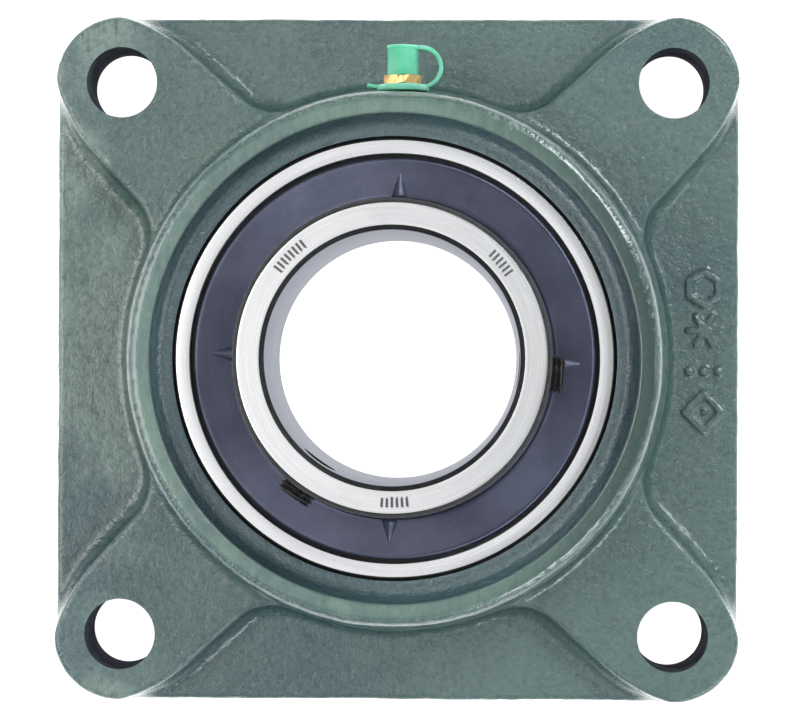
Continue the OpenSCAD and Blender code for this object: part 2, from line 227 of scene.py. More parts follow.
def paint_material():
    """Green enamel sprayed over a sand casting.

    A fine glossy pebble, lighter on the ring's turned face, with painted shade in the recess, towards that
    face's right and in the pebble's pits, painted highlight specks, and lighter patches with dark scratches
    towards the left edge.
    """
    n = Nodes("green_enamel")
    edge, recess_shade, flat = (n.attribute(name) for name in ("edge", "recess_shade", "flat"))
    drift = n.noise(13, 3, 0.55)
    cloud = n.noise(60, 4, 0.6)
    pebble = n.noise(580, 4, 0.62, distortion=0.3)
    grain = n.noise(1700, 2, 0.55)
    lumps = n.noise(230, 2, 0.5)
    streak = n.noise(210, 3, 0.6, vector=n.scaled((1, 0.35, 1)))
    calm = n.math("SUBTRACT", 1.0, n.times(flat, 0.65))

    base = n.mix(n.between(drift, 0.38, 0.62), (0.044, 0.096, 0.103), (0.066, 0.127, 0.110))
    base = n.mix(n.between(cloud, 0.45, 0.7, 0, 0.35), base, (0.090, 0.154, 0.145))

    turned_face = n.times(flat, n.between(streak, 0.3, 0.65, 0.25, 0.75))
    base = n.mix(turned_face, base, (0.146, 0.234, 0.184))
    # Painted shade: the ring's flat face grows darker towards its right.
    ring_face_right_shade = n.times(flat, n.between(n.side(), -0.066, -0.010, 0.95, 0.0))
    base = n.mix(ring_face_right_shade, base, (0.028, 0.060, 0.052))
    # Painted shade: the recess is darker and bluer.
    base = n.mix(n.times(recess_shade, 0.85), base, (0.036, 0.080, 0.094))

    # Lighter patches towards the left edge of the web, with dark scratches in them.
    left_edge_patches = n.times(n.between(n.side(), 0.064, 0.076), n.between(n.noise(30, 2, 0.5), 0.40, 0.55))
    scratch = n.between(n.noise(900, 3, 0.6, vector=n.scaled((1, 0.09, 1))), 0.57, 0.67, 0, 0.7)
    base = n.mix(n.times(left_edge_patches, 0.8), base, (0.168, 0.245, 0.210))
    base = n.mix(n.times(left_edge_patches, scratch), base, (0.035, 0.070, 0.062))

    # Painted shade in the pebble's pits: darker where the pebble is low.
    pit_shade = n.times(n.between(pebble, 0.34, 0.54, 0.42, 0.0), calm)
    base = n.mix(pit_shade, base, (0.026, 0.058, 0.054))
    # Painted highlight: light specks on the fine grain stand in for glints.
    base = n.mix(n.between(grain, 0.60, 0.72, 0, 0.16), base, (0.240, 0.310, 0.270))
    worn = n.times(edge, n.between(n.noise(420, 3, 0.6), 0.48, 0.62))
    base = n.mix(n.times(worn, 0.12), base, (0.24, 0.32, 0.25))

    height = n.plus(n.times(pebble, 0.7), n.plus(n.times(grain, 0.28), n.times(lumps, 0.7)))
    height = n.times(height, calm)
    return n.finish(color=base, rough=n.between(cloud, 0.3, 0.8, 0.15, 0.25), normal=n.bump(height, 0.80),
                    spec=0.65, coat=0.8, coat_rough=0.09, coat_normal=n.bump(height, 0.22))


def bare_iron_material(name, light, dark, spec, metal):
    """Drilled or turned grey iron with fine tool marks."""
    n = Nodes(name)
    marks = n.ring_noise(2500, 2.0)
    color = n.mix(n.between(n.noise(140, 4, 0.6), 0.3, 0.7), dark, light)
    rough = n.between(marks, 0.3, 0.7, 0.35, 0.6)
    return n.finish(color=color, metal=metal, rough=rough, normal=n.bump(marks, 0.05, 0.6), spec=spec)


def ground_steel_material(name, light, dark, rough_low, rough_high, etched=False, edge_tint=1.0):
    """Ground bearing steel with fine rings round the axis. edge_tint dims its grazing reflections."""
    n = Nodes(name)
    lines = n.ring_noise(5200, 1.4, 3, 0.65)
    wide = n.ring_noise(900, 2.2)
    haze = n.noise(90, 3, 0.6)
    color = n.mix(n.between(lines, 0.3, 0.7), dark, light)
    color = n.mix(n.between(haze, 0.45, 0.75, 0, 0.25), color, dark)
    rough = n.plus(n.between(wide, 0.3, 0.7, rough_low, rough_high), n.between(haze, 0.5, 0.8, 0, 0.06))
    if etched:
        mark = n.attribute("etch")
        color = n.mix(n.times(mark, 0.92), color, (0.045, 0.045, 0.05))
        rough = n.plus(rough, n.times(mark, 0.25))
    n.bsdf.inputs["Specular Tint"].default_value = (edge_tint, edge_tint, edge_tint, 1)
    n.turned(0.5, 0.25)
    return n.finish(color=color, metal=1.0, rough=rough, normal=n.bump(lines, 0.012, 0.4))


def blued_steel_material():
    """Blued sheet steel: dark violet-blue, satin, with faint turning rings and handling marks."""
    n = Nodes("blued_steel")
    lines = n.ring_noise(1800, 3)
    speck = n.noise(1400, 2, 0.5)
    color = n.mix(n.between(n.noise(70, 4, 0.6), 0.3, 0.7), (0.062, 0.068, 0.103), (0.090, 0.097, 0.142))
    color = n.mix(n.between(speck, 0.68, 0.76, 0, 0.35), color, (0.26, 0.27, 0.33))
    n.turned(0.8, 0.0)
    height = n.plus(lines, n.times(speck, 0.4))
    return n.finish(color=color, metal=0.75, rough=n.between(lines, 0.3, 0.7, 0.38, 0.48),
                    normal=n.bump(height, 0.03, 0.6))


def plain_steel_material(name, light, dark, rough_low, rough_high, metal=1.0, scale=300, bump_mm=0.02):
    """Pressed, rolled or polished steel with small colour and gloss changes."""
    n = Nodes(name)
    fine = n.noise(scale * 7, 2, 0.5)
    color = n.mix(n.between(n.noise(scale, 4, 0.6), 0.3, 0.7), dark, light)
    return n.finish(color=color, metal=metal, rough=n.between(fine, 0.3, 0.7, rough_low, rough_high),
                    normal=n.bump(fine, bump_mm, 0.5))


def rubber_material():
    n = Nodes("seal_rubber")
    fine = n.noise(2600, 2, 0.5)
    cloud = n.noise(180, 3, 0.6)
    color = n.mix(n.between(cloud, 0.3, 0.7), (0.012, 0.012, 0.013), (0.024, 0.024, 0.026))
    return n.finish(color=color, rough=n.between(fine, 0.3, 0.7, 0.5, 0.7), normal=n.bump(fine, 0.03, 0.6))


def brass_material():
    n = Nodes("turned_brass")
    cloud = n.noise(420, 4, 0.6)
    fine = n.noise(2400, 2, 0.5)
    color = n.mix(n.between(cloud, 0.35, 0.7), (0.62, 0.42, 0.16), (0.78, 0.60, 0.27))
    color = n.mix(n.between(n.noise(800, 3, 0.6), 0.58, 0.72, 0, 0.6), color, (0.30, 0.19, 0.07))
    return n.finish(color=color, metal=0.9, rough=n.between(fine, 0.3, 0.7, 0.28, 0.46),
                    normal=n.bump(fine, 0.04, 0.6))


def cap_plastic_material(name, deep, pale):
    """Soft moulded polyethylene, milky and slightly see-through."""
    n = Nodes(name)
    cloud = n.noise(160, 3, 0.6)
    fine = n.noise(1500, 2, 0.5)
    color = n.mix(n.between(cloud, 0.3, 0.7), deep, pale)
    return n.finish(color=color, rough=n.between(fine, 0.3, 0.7, 0.42, 0.55), normal=n.bump(fine, 0.03, 0.5),
                    transmission=0.15, ior=1.5, spec=0.4,
                    sss=0.5, sss_radius=(1.0, 1.6, 1.2), sss_scale=0.0015)


PAINT = paint_material()
IRON = bare_iron_material("machined_iron", (0.24, 0.235, 0.24), (0.13, 0.128, 0.13), 0.4, 0.6)
# The bolt holes' walls: the bare iron made darker, bluer and matte, as painted shade inside the holes.
HOLE_SHADED_IRON = bare_iron_material("hole_iron_painted_shade", (0.085, 0.092, 0.108), (0.040, 0.044, 0.054), 0.0, 0.0)
# The bore's honed steel, darker and bluer than the ring's faces: painted shade inside the bore.
BORE_STEEL_SHADED = ground_steel_material("honed_bore_steel_shaded", (0.44, 0.46, 0.52), (0.37, 0.39, 0.45), 0.28, 0.36,
                                   edge_tint=0.55)
STEEL_OUTER = ground_steel_material("ground_steel", (0.90, 0.90, 0.90), (0.78, 0.78, 0.785), 0.22, 0.30)
STEEL_INNER = ground_steel_material("ground_steel_marked", (0.91, 0.91, 0.905), (0.80, 0.80, 0.80),
                                    0.22, 0.30, etched=True)
SCALE = plain_steel_material("heat_scale", (0.030, 0.029, 0.030), (0.014, 0.014, 0.015), 0.4, 0.6,
                             metal=0.3, scale=500)
BLUED = blued_steel_material()
RUBBER = rubber_material()
SEAL_STEEL = plain_steel_material("seal_core_steel", (0.5, 0.5, 0.51), (0.32, 0.32, 0.33), 0.35, 0.5)
CAGE_STEEL = plain_steel_material("pressed_cage_steel", (0.62, 0.58, 0.52), (0.42, 0.38, 0.34), 0.25, 0.42)
RIVET_STEEL = plain_steel_material("rivet_steel", (0.66, 0.66, 0.66), (0.4, 0.4, 0.4), 0.25, 0.4, scale=900)
BALL_STEEL = plain_steel_material("ball_steel", (0.86, 0.86, 0.87), (0.78, 0.78, 0.8), 0.04, 0.09,
                                  scale=200, bump_mm=0.002)
SPRING_STEEL = plain_steel_material("spring_steel", (0.6, 0.6, 0.62), (0.42, 0.42, 0.44), 0.25, 0.4,
                                    scale=1500)
SCREW_STEEL = plain_steel_material("black_oxide_steel", (0.035, 0.034, 0.036), (0.015, 0.015, 0.016),
                                   0.25, 0.42, metal=0.6, scale=700)
BRASS = brass_material()
PLASTIC = cap_plastic_material("moulded_plastic", (0.060, 0.56, 0.31), (0.16, 0.66, 0.42))
# A paler copy of the cap's plastic for the thin strap and ring: painted light shining through thin plastic.
THIN_PLASTIC = cap_plastic_material("moulded_plastic_thin", (0.13, 0.55, 0.37), (0.22, 0.64, 0.47))


# ------------------------------------------------------------------ mesh helpers

def plain_mesh(name, verts_mm, faces):
    """A bare mesh object in the row frame, from vertices in millimetres."""
    mesh = bpy.data.meshes.new(name)
    mesh.from_pydata((np.asarray(verts_mm, float) * MM).tolist(), [], [list(map(int, f)) for f in faces])
    mesh.validate()
    obj = bpy.data.objects.new(name, mesh)
    bpy.context.scene.collection.objects.link(obj)
    return obj


def dress(obj, materials, body, stands_for, sharp_deg=35, face_material=None):
    """Materials, smooth shading, the body it rides on, and the CAD nodes it stands for."""
    mesh = obj.data
    mesh.materials.clear()
    for material in materials:
        mesh.materials.append(material)
    if face_material is not None:
        mesh.polygons.foreach_set("material_index", np.asarray(face_material, np.int32))
    mesh.polygons.foreach_set("use_smooth", [True] * len(mesh.polygons))
    mesh.set_sharp_from_angle(angle=math.radians(sharp_deg))
    if body:
        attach(obj, body)
    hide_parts(*stands_for)
    return obj


def add_piece(name, shape, material, body, stands_for, sharp_deg=35):
    """A piece of one material from (verts, faces)."""
    return dress(plain_mesh(name, *shape), [material], body, stands_for, sharp_deg)


def per_face(mesh, what):
    """A vector of every face, such as its center or its normal."""
    values = np.empty(len(mesh.polygons) * 3)
    mesh.polygons.foreach_get(what, values)
    return values.reshape(-1, 3)


def per_vertex(mesh):
    """Every vertex's place, in millimetres."""
    values = np.empty(len(mesh.vertices) * 3)
    mesh.vertices.foreach_get("co", values)
    return values.reshape(-1, 3) / MM


def store(mesh, name, values):
    """Keeps a number for each vertex, which a material reads by its name."""
    mesh.attributes.new(name, "FLOAT", "POINT").data.foreach_set("value", values.astype(np.float32))


def ring_grid(rings, closed_loop=False):
    """Quads between successive rings of as many points each. Flat faces close the ends, or the loop closes."""
    count = len(rings[0])
    verts = np.vstack(rings)
    faces = []
    turns = len(rings) if closed_loop else len(rings) - 1
    i = np.arange(count)
    j = (i + 1) % count
    for k in range(turns):
        a, b = k * count, ((k + 1) % len(rings)) * count
        faces += np.stack([a + i, a + j, b + j, b + i], 1).tolist()
    if not closed_loop:
        faces.append(list(range(count))[::-1])
        faces.append([len(verts) - count + k for k in range(count)])
    return verts, faces


def rounded(points, radius=0.25, steps=3, closed=True):
    """A profile with its corners rounded. A point may carry its own radius as a third value."""
    out = []
    count = len(points)
    for k, p in enumerate(points):
        own = p[2] if len(p) > 2 else radius
        p2 = np.array(p[:2], float)
        if not closed and k in (0, count - 1) or own <= 0:
            out.append(p2)
            continue
        before = np.array(points[k - 1][:2], float) - p2
        after = np.array(points[(k + 1) % count][:2], float) - p2
        la, lb = np.linalg.norm(before), np.linalg.norm(after)
        reach = min(own, la * 0.45, lb * 0.45)
        a, b = p2 + before / la * reach, p2 + after / lb * reach
        for s in np.linspace(0, 1, steps + 1):
            out.append((1 - s) ** 2 * a + 2 * s * (1 - s) * p2 + s ** 2 * b)
    return np.array(out)


def arc(cx, cy, radius, start, end, steps):
    t = np.radians(np.linspace(start, end, steps + 1))
    return [(cx + radius * math.cos(a), cy + radius * math.sin(a), 0) for a in t]


def disc(radius, angles, z):
    """One ring of points at a height. The radius may differ from angle to angle."""
    return np.stack([radius * np.cos(angles), radius * np.sin(angles), z + 0 * angles], 1)


def lathe_rings(profile, angles):
    """Rings of a closed (r, z) profile turned about the z axis."""
    return [disc(r, angles, z) for r, z in profile]


def turn_angles(segments):
    return np.arange(segments) * TAU / segments


def lathe(profile, segments=360, z=0.0, flip=False):
    """A closed (r, z) profile turned about the bearing axis, lifted by z. flip mirrors it first."""
    p = np.array([q[:2] for q in profile], float)
    if flip:
        p = p * (1, -1)
    p[:, 1] += z
    area = np.sum(p[:, 0] * np.roll(p[:, 1], -1) - np.roll(p[:, 0], -1) * p[:, 1])
    if area > 0:
        p = p[::-1]
    return ring_grid(lathe_rings(p, turn_angles(segments)), closed_loop=True)


def ball(radius, steps, segments):
    """A sphere about the origin, with small flats at its poles."""
    rise = np.radians(np.linspace(-90, 90, steps))[1:-1]
    return ring_grid(lathe_rings([(radius * math.cos(t), radius * math.sin(t)) for t in rise],
                                 turn_angles(segments)))


def join_parts(parts):
    """Several (verts, faces) as one."""
    verts, faces, base = [], [], 0
    for v, f in parts:
        verts.append(np.asarray(v, float))
        faces += [[i + base for i in face] for face in f]
        base += len(v)
    return np.vstack(verts), faces


def along_y(points):
    """Points made along +z are turned to run along +Y through the grease port."""
    p = np.asarray(points, float)
    return np.stack([NIPPLE_X + p[:, 0], p[:, 2], NIPPLE_Z - p[:, 1]], 1)


def outwards(points, height, turn):
    """Points made along +z are turned to run outwards from the bearing axis, at a height and an angle."""
    p = np.asarray(points, float)
    return turned_z(np.stack([p[:, 2], p[:, 0], p[:, 1] + height], 1), turn)


def turned_z(points, degrees):
    p = np.asarray(points, float)
    c, s = math.cos(math.radians(degrees)), math.sin(math.radians(degrees))
    return np.stack([c * p[:, 0] - s * p[:, 1], s * p[:, 0] + c * p[:, 1], p[:, 2]], 1)


def cut(obj, *cutters):
    """Subtracts each cutter (verts in mm, faces) from obj."""
    for shape in cutters:
        tool = plain_mesh("cutter", *shape)
        mod = obj.modifiers.new("cut", "BOOLEAN")
        mod.operation, mod.solver, mod.object = "DIFFERENCE", "MANIFOLD", tool
        dg = bpy.context.evaluated_depsgraph_get()
        done = bpy.data.meshes.new_from_object(obj.evaluated_get(dg))
        obj.modifiers.clear()
        old = obj.data
        obj.data = done
        bpy.data.meshes.remove(old)
        mesh = tool.data
        bpy.data.objects.remove(tool)
        bpy.data.meshes.remove(mesh)
    return obj


def cylinder(radius, low, high, segments=96):
    return ring_grid(lathe_rings([(radius, low), (radius, high)], turn_angles(segments)))


def box(low, high):
    (x0, y0, z0), (x1, y1, z1) = low, high
    corners = [(x, y, z) for z in (z0, z1) for x, y in ((x0, y0), (x1, y0), (x1, y1), (x0, y1))]
    return corners, [(3, 2, 1, 0), (4, 5, 6, 7), (0, 1, 5, 4), (1, 2, 6, 5), (2, 3, 7, 6), (3, 0, 4, 7)]


# ------------------------------------------------------------------ housing casting

def smooth_min(a, b, k):
    """Union of two distance fields with a fillet of radius k."""
    return np.maximum(k, np.minimum(a, b)) - np.hypot(np.maximum(k - a, 0), np.maximum(k - b, 0))


def smooth_max(a, b, k):
    return -smooth_min(-a, -b, k)


def segment_distance(x, y, ax, ay, bx, by):
    dx, dy = bx - ax, by - ay
    t = np.clip(((x - ax) * dx + (y - ay) * dy) / (dx * dx + dy * dy), 0, 1)
    return np.hypot(x - ax - t * dx, y - ay - t * dy)


MARK_X, HEXAGON_Y, STAR_Y, DOTS_Y, DIAMOND_Y = 83.2, 19.5, 8.0, -3.0, -14.0


def cast_mark(x, y):
    """Plain foundry symbols raised on the right web: hexagon, star, dots and diamond. They spell nothing."""
    half_line, half_ray, ray = 0.9, 0.8, 4.4
    x = x - MARK_X
    thirds = [(math.cos(t), math.sin(t)) for t in (0.0, TAU / 6, TAU / 3)]
    hexagon_flats = [np.abs(x * c + (y - HEXAGON_Y) * s) for c, s in thirds]
    hexagon_line = np.abs(np.maximum.reduce(hexagon_flats) - 3.9) - half_line
    rays = [segment_distance(x, y, -ray * c, STAR_Y - ray * s, ray * c, STAR_Y + ray * s) for c, s in thirds]
    star = np.minimum.reduce(rays) - half_ray
    dots = np.minimum.reduce([np.hypot(x - d, y - DOTS_Y) for d in (-4.0, 0.0, 4.0)]) - 1.25
    diamond = np.abs((np.abs(x) + np.abs(y - DIAMOND_Y)) / math.sqrt(2) - 3.6) - half_line
    centre_dot = np.hypot(x, y - DIAMOND_Y) - half_ray
    return np.minimum.reduce([hexagon_line, star, dots, diamond, centre_dot])


def casting_field(p):
    """Signed distance, in millimetres, of the casting before any machining."""
    x, y, z = p[..., 0], p[..., 1], p[..., 2]
    ax, ay = np.abs(x), np.abs(y)
    r = np.hypot(x, y)
    up = np.clip(z, 0, None)
    beyond = np.hypot(np.maximum(ax - BOLT, 0), np.maximum(ay - BOLT, 0))
    outline = beyond + np.minimum(np.maximum(ax, ay) - BOLT, 0) - (CORNER_R - up * DRAFT)
    boss = np.hypot(ax - BOLT, ay - BOLT) - (BOSS_R - up * DRAFT)
    outline = np.minimum(outline, boss)
    along, across = (ax + ay) / math.sqrt(2), np.abs(ax - ay) / math.sqrt(2)
    narrowing = np.clip(along - ARM_FROM, 0, 40) * ARM_TAPER
    arm = across - (ARM_HALF - narrowing + (BOSS_H - up) * ARM_LEAN)
    arm = smooth_max(arm, outline - 2.0, 11)
    foot = r - (RING_FOOT_R - up * RING_SLOPE)
    raised = smooth_min(arm, foot, 9)
    raised = smooth_max(raised, z - BOSS_H, 0.9)
    mark = smooth_max(cast_mark(x, y), np.abs(z - WEB_T) - 0.95, 0.35)
    web = smooth_min(z - WEB_T, mark, 0.7)
    plate = smooth_max(smooth_min(web, raised, 3.2), outline, 1.4)
    ring = smooth_max(foot, z - RING_H, 3.0)
    solid = smooth_min(plate, ring, 2.6)
    return smooth_max(solid, -1.4 - z, 0.1)


def surface_net(field, low, high, cell):
    """Closed quad mesh of field = 0, with its vertices then moved onto the surface."""
    axes = [np.arange(a, b + cell, cell) for a, b in zip(low, high)]
    grid = np.stack(np.meshgrid(*axes, indexing="ij"), -1)
    f = field(grid)
    inside = f < 0
    n = np.array(f.shape) - 1
    corner = [inside[i:n[0] + i, j:n[1] + j, k:n[2] + k] for i in (0, 1) for j in (0, 1) for k in (0, 1)]
    active = np.logical_or.reduce(corner) & ~np.logical_and.reduce(corner)
    cells = np.argwhere(active)
    index = np.full(active.shape, -1)
    index[active] = np.arange(len(cells))
    total, hits = np.zeros((len(cells), 3)), np.zeros(len(cells))
    for axis in range(3):
        step = np.eye(3, dtype=int)[axis]
        others = [o for o in range(3) if o != axis]
        for u in (0, 1):
            for v in (0, 1):
                off = np.zeros(3, int)
                off[others[0]], off[others[1]] = u, v
                a = f[tuple((cells + off).T)]
                b = f[tuple((cells + off + step).T)]
                hit = (a < 0) != (b < 0)
                t = np.where(hit, a / np.where(hit, a - b, 1), 0)
                total[hit] += (off + t[:, None] * step)[hit]
                hits += hit
    verts = np.array(low) + cell * (cells + total / hits[:, None])
    faces = []
    for axis in range(3):
        u, v = [(1, 2), (2, 0), (0, 1)][axis]
        a = inside
        b = np.roll(inside, -1, axis)
        change = a != b
        index_limit = [slice(1, -1)] * 3
        index_limit[axis] = slice(0, -1)
        where = np.argwhere(change[tuple(index_limit)])
        where += [0 if k == axis else 1 for k in range(3)]
        du, dv = np.eye(3, dtype=int)[u], np.eye(3, dtype=int)[v]
        around = (where - du - dv, where - dv, where, where - du)
        quad = np.stack([index[tuple(cell_at.T)] for cell_at in around], 1)
        solid_first = a[tuple(where.T)]
        quad[~solid_first] = quad[~solid_first][:, ::-1]
        faces.append(quad)
    for _ in range(2):
        d, g = field(verts), gradient(field, verts)
        verts = verts - d[:, None] * g / np.maximum(np.sum(g * g, 1), 0.25)[:, None]
    return verts, np.vstack(faces)


def gradient(field, verts, h=0.05):
    out = np.empty_like(verts)
    for axis in range(3):
        e = np.zeros(3)
        e[axis] = h
        out[:, axis] = (field(verts + e) - field(verts - e)) / (2 * h)
    return out


def waves(points, wavelength, count, seed):
    """Smooth repeatable noise, about -1 to 1, as a sum of waves in random directions."""
    rng = np.random.default_rng(seed)
    total = np.zeros(len(points))
    for _ in range(count):
        d = rng.normal(size=3)
        d *= TAU / (wavelength * rng.uniform(0.7, 1.5)) / np.linalg.norm(d)
        total += np.cos(points @ d + rng.uniform(0, TAU))
    return total / math.sqrt(count)


# The bearing's seat and the openings before and behind it
SEAT_R, BACK_R, LEDGE_R, RIM_R, RECESS_R = 60.05, 59.0, 60.4, 58.2, 63.7
SEAT_FROM_Z, FRONT_Z = 18.8, 44.7
# The two slots behind the seat that the bearing goes in through, and the bore for the grease nipple
NOTCHES = ((-60.55, -14.5, -1), (60.55, 14.5, BEARING_Z))
PORT_R = 4.85


def cavity_cutter():
    """Back bore, spherical seat, ledge and flared recess as one turned solid."""
    low, high = (math.asin((z - BEARING_Z) / SEAT_R) for z in (SEAT_FROM_Z, FRONT_Z))
    seat = [(SEAT_R * math.cos(t), BEARING_Z + SEAT_R * math.sin(t)) for t in np.linspace(low, high, 28)]
    ledge_z = FRONT_Z + 0.2
    ledge = [(RIM_R + 0.35, FRONT_Z + 0.1), (RIM_R + 1.0, FRONT_Z + 0.18), (LEDGE_R - 0.5, ledge_z)]
    start, deep = LEDGE_R - 0.3, RING_H - ledge_z
    recess = [(start + (RECESS_R - start) * math.sin(t), RING_H - deep * math.cos(t))
              for t in np.radians(np.linspace(4, 78, 18))]
    edge_r, edge_round = RECESS_R + 0.1, 0.7
    edge = [(edge_r + edge_round * (1 - math.cos(t)), RING_H - edge_round + edge_round * math.sin(t))
            for t in np.radians(np.linspace(0, 84, 8))]
    profile = [(BACK_R + 2.5, -1.0), (BACK_R, 1.5)] + seat + ledge + recess + edge
    profile += [(edge_r + 2.5, RING_H + 1.6)]
    return ring_grid(lathe_rings(profile, turn_angles(480)))


def build_housing():
    reach = HALF + 2.5
    low, high = (-reach, -reach, -2.2), (reach, reach, RING_H + 1.6)
    verts, quads = surface_net(casting_field, low, high, CELL)
    normal = gradient(casting_field, verts)
    normal /= np.linalg.norm(normal, axis=1)[:, None]
    machined = np.clip((verts[:, 2] - RING_H + 0.8) / 0.8, 0, 1)
    lump = 0.10 * waves(verts, 26, 40, 3) + 0.05 * waves(verts, 9, 40, 4) + 0.035 * waves(verts, 3.6, 60, 5)
    verts = verts + normal * (lump * (1 - 0.9 * machined))[:, None]
    housing = plain_mesh("housing_casting", verts, quads)

    tools = [box((-120, -120, -5), (120, 120, 0)), cavity_cutter(), box(*NOTCHES)]
    for sx in (-1, 1):
        for sy in (-1, 1):
            v, f = cylinder(HOLE_R, -1, BOSS_H + 2)
            tools.append((v + (sx * BOLT, sy * BOLT, 0), f))
    for radius, start, end in ((9.6, SEAT_Y, 80), (PORT_R, 62.4, 80), (1.75, 56, 66)):
        v, f = cylinder(radius, start, end, 64)
        tools.append((along_y(v), f))
    cut(housing, *tools)
    dress(housing, [PAINT, IRON, HOLE_SHADED_IRON], "housing", ("housing",), 38,
          bare_faces(housing.data))

    places = per_vertex(housing.data)
    r, z = np.hypot(places[:, 0], places[:, 1]), places[:, 2]
    recess = (r < RECESS_R + 0.2) & (z > FRONT_Z - 0.5) & (z < RING_H - 0.1)
    top = (np.abs(z - RING_H) < 0.4) & (r > RECESS_R - 0.3) & (r < 70.5)
    store(housing.data, "edge", spread(places, gradient(casting_field, places)))
    # The recess mask, which the enamel reads for its painted shade.
    store(housing.data, "recess_shade", recess)
    store(housing.data, "flat", top)


def bare_faces(mesh):
    """2 for the bolt holes' walls, 1 for the other machined faces and 0 for paint."""
    centre, normal = per_face(mesh, "center") / MM, per_face(mesh, "normal")
    x, y, z = centre.T
    from_bolt = np.hypot(np.abs(x) - BOLT, np.abs(y) - BOLT)
    hole = (np.abs(from_bolt - HOLE_R) < 0.08) & (np.abs(normal[:, 2]) < 0.1)
    from_middle = np.linalg.norm(centre - (0, 0, BEARING_Z), axis=1)
    seat = (np.abs(from_middle - SEAT_R) < 0.12) & (z < FRONT_Z) & (z > 18)
    back = z < 0.01
    bore = (np.hypot(x, y) < BACK_R + 2.6) & (z < 19)
    port = (np.hypot(x - NIPPLE_X, z - NIPPLE_Z) < PORT_R + 0.05) & (y > 50)
    return np.where(hole, 2, (seat | back | bore | port).astype(int))


def spread(points, normals, reach=1.0):
    """How strongly the surface turns away from a point: 0 on flats and in fillets, up to 1 on outer edges."""
    tangent = np.cross(normals, (0.31, 0.52, 0.79))
    tangent /= np.maximum(np.linalg.norm(tangent, axis=1), 1e-6)[:, None]
    other = np.cross(normals, tangent)
    outside = sum(casting_field(points + reach * t) for t in (tangent, -tangent, other, -other)) / 4
    return np.clip(outside / reach * 3.0, 0, 1)


build_housing()


# ------------------------------------------------------------------ bearing rings

OUTER_SPHERE_R, OUTER_HALF_W, OUTER_LAND_R = 60.0, 14.0, 51.6


def outer_ring_profile():
    """Half section: ball groove, seal seats, and the spherical outside with its lubrication groove."""
    centre = PITCH_R + PLAY + BALL_R - GROOVE_R
    edge_r = math.sqrt(OUTER_SPHERE_R ** 2 - OUTER_HALF_W ** 2) - 1.0
    reach = math.degrees(math.acos((OUTER_LAND_R - centre) / GROOVE_R))
    race = arc(centre, 0, GROOVE_R, -reach, reach, 24)

    def sphere(high, low, steps):
        high, low = (math.degrees(math.asin(z / OUTER_SPHERE_R)) for z in (high, low))
        return arc(0, 0, OUTER_SPHERE_R, high, low, steps)

    outside = [(edge_r, OUTER_HALF_W, 0.3)] + sphere(12.6, 9.6, 4)
    outside += [(59.35, 9.4, 0.1), (59.35, 6.6, 0.1)] + sphere(6.4, -12.6, 24)
    outside += [(edge_r, -OUTER_HALF_W, 0.3)]
    rear_seat = [(53.75, -OUTER_HALF_W, 0.15), (53.75, -11.2, 0.05), (54.3, -11.2, 0.05), (54.3, -9.6, 0.05)]
    front_seat = [(r, -z, own) for r, z, own in rear_seat[::-1]]
    return rounded([front_seat[-1]] + outside + rear_seat + [(OUTER_LAND_R, -9.6, 0.1)]
                   + race + [(OUTER_LAND_R, 9.6, 0.1)] + front_seat[:-1])


def build_outer_ring():
    ring = plain_mesh("outer_race_ring", *lathe(outer_ring_profile(), 480, BEARING_Z))
    tools = []
    for turn in (90, 270):
        v, f = cylinder(1.25, 49, 62, 32)
        tools.append((outwards(v, BEARING_Z + 8, turn), f))
    cut(ring, *tools)
    black = chamfer_faces(ring.data, (56, 60))
    dress(ring, [STEEL_OUTER, SCALE], "outer_race", ("outer_ring",), 25, black.astype(int))


def face_layout(mesh):
    """Each face's distance from the axis, height over the bearing's middle, and how far it faces along z."""
    x, y, z = per_face(mesh, "center").T / MM
    return np.hypot(x, y), z - BEARING_Z, np.abs(per_face(mesh, "normal")[:, 2])


def chamfer_faces(mesh, *bands):
    """The sloping end faces within any of the bands of radius: black heat scale that was never ground off."""
    r, height, up = face_layout(mesh)
    in_band = np.logical_or.reduce([(r > low) & (r < high) for low, high in bands])
    return in_band & (np.abs(height) > 12.4) & (up > 0.3) & (up < 0.93)


def bore_faces(mesh):
    r, height, up = face_layout(mesh)
    return (r < BORE_R + 0.05) & (up < 0.3)


def screw_hole_faces(mesh):
    """The tapped holes' walls, black like the screws."""
    centre = per_face(mesh, "center") / MM
    found = np.zeros(len(centre), bool)
    for turn in SCREW_ANGLES:
        x, y, z = turned_z(centre, -turn).T
        found |= (np.abs(np.hypot(y, z - SCREW_Z) - SCREW_HOLE_R) < 0.06) & (x > 0)
    return found


# Plain etched graduations on the inner ring's face: where each row starts, and how many ticks it has
FACE_SCALES = ((128.25, 8), (36.25, 6), (-93.75, 6))
TICK_STEP, TICK_REACH, TICK_LOW, TICK_HIGH = 2.0, 0.3, 35.3, 37.9


def etched(r, angle):
    """Whether a point of the ring's face lies in a graduation tick."""
    inside = np.zeros(len(r), bool)
    for start, count in FACE_SCALES:
        for middle in start + TICK_STEP * np.arange(count):
            inside |= np.abs((angle - middle + 180) % 360 - 180) < TICK_REACH
    return inside & (r > TICK_LOW) & (r < TICK_HIGH)


